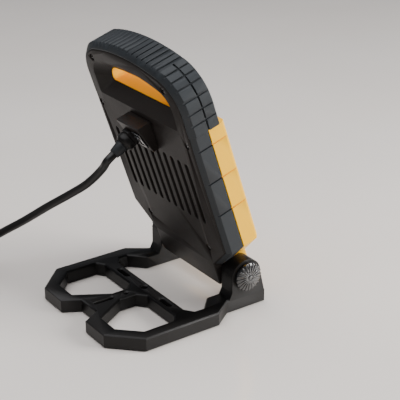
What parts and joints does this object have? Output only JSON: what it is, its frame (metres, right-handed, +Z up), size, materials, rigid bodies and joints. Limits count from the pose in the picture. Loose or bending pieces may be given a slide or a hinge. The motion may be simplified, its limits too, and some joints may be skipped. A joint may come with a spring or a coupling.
{
  "type": "work light",
  "caption": "Mains LED work light: flat head with a carrying handle and vents, tilting between the lugs of an open floor stand, with a rubber cord, coiled lead and plug.",
  "frame": {"origin": "on the floor under the middle of the light, its cord left out", "axes": "+X to the right as seen from the lit side's rear, along the tilt axis; +Y away from the lit side, towards the back of the stand; +Z up"},
  "size_m": [0.2761, 0.3465, 0.2857],
  "materials": {
    "black_plastic": "satin moulded",
    "black_gloss": "glossy",
    "black_rubber": "soft satin",
    "yellow_plastic": "satin moulded",
    "white_plastic": "matte",
    "clear_lens": "clear",
    "aluminium": "extruded",
    "steel": "zinc plated",
    "plated_brass": "nickel plated"
  },
  "bodies": {
    "stand": {"stand_frame": "black_plastic", "friction_washer_left": "black_rubber", "friction_washer_right": "black_rubber", "cord_lead": "black_rubber", "cord_coil": "black_rubber", "cord_tie": "black_rubber", "cord_tail": "black_rubber", "plug_sleeve": "black_rubber", "plug_body": "black_rubber", "plug_pin_1": "plated_brass", "plug_pin_2": "plated_brass"},
    "knob_left": {"knob_left": "black_gloss", "stud_left": "steel"},
    "knob_right": {"knob_right": "black_gloss", "stud_right": "steel"},
    "head": {"tilt_nut_left": "steel", "tilt_nut_right": "steel", "rear_cover": "black_plastic", "front_shell": "yellow_plastic", "side_bumper_left": "black_rubber", "side_bumper_right": "black_rubber", "upper_bumper": "black_rubber", "lens_gasket": "black_rubber", "lens": "clear_lens", "reflector": "white_plastic", "led_board": "white_plastic", "heat_sink": "aluminium", "sink_screw_1": "steel", "sink_screw_2": "steel", "sink_screw_3": "steel", "sink_screw_4": "steel", "led_driver": "white_plastic", "terminal_block": "white_plastic", "cover_screw_1": "steel", "cover_screw_2": "steel", "cover_screw_3": "steel", "cover_screw_4": "steel", "cover_screw_5": "steel", "cover_screw_6": "steel", "junction_box": "black_plastic", "switch_body": "black_gloss", "gland_body": "black_plastic", "gland_lock_nut": "black_plastic", "gland_nut": "black_plastic", "strain_relief": "black_rubber"},
    "rocker": {"switch_rocker": "black_rubber"}
  },
  "joints": [
    {"name": "head_tilt", "type": "hinge", "parent": "stand", "child": "head", "pos_m": [0, -0.0694, 0.0375], "axis": [1, 0, 0], "range_deg": [-54, 100], "deforming": ["cord_lead"]},
    {"name": "knob_left_turn", "type": "hinge", "parent": "stand", "child": "knob_left", "pos_m": [-0.0785, -0.0694, 0.0375], "axis": [-1, 0, 0], "continuous": true},
    {"name": "knob_right_turn", "type": "hinge", "parent": "stand", "child": "knob_right", "pos_m": [0.0785, -0.0694, 0.0375], "axis": [1, 0, 0], "continuous": true},
    {"name": "rocker_throw", "type": "hinge", "parent": "head", "child": "rocker", "pos_m": [-0.011, 0.01415, 0.1871], "axis": [1, 0, 0], "range_deg": [0, 20]}
  ]
}
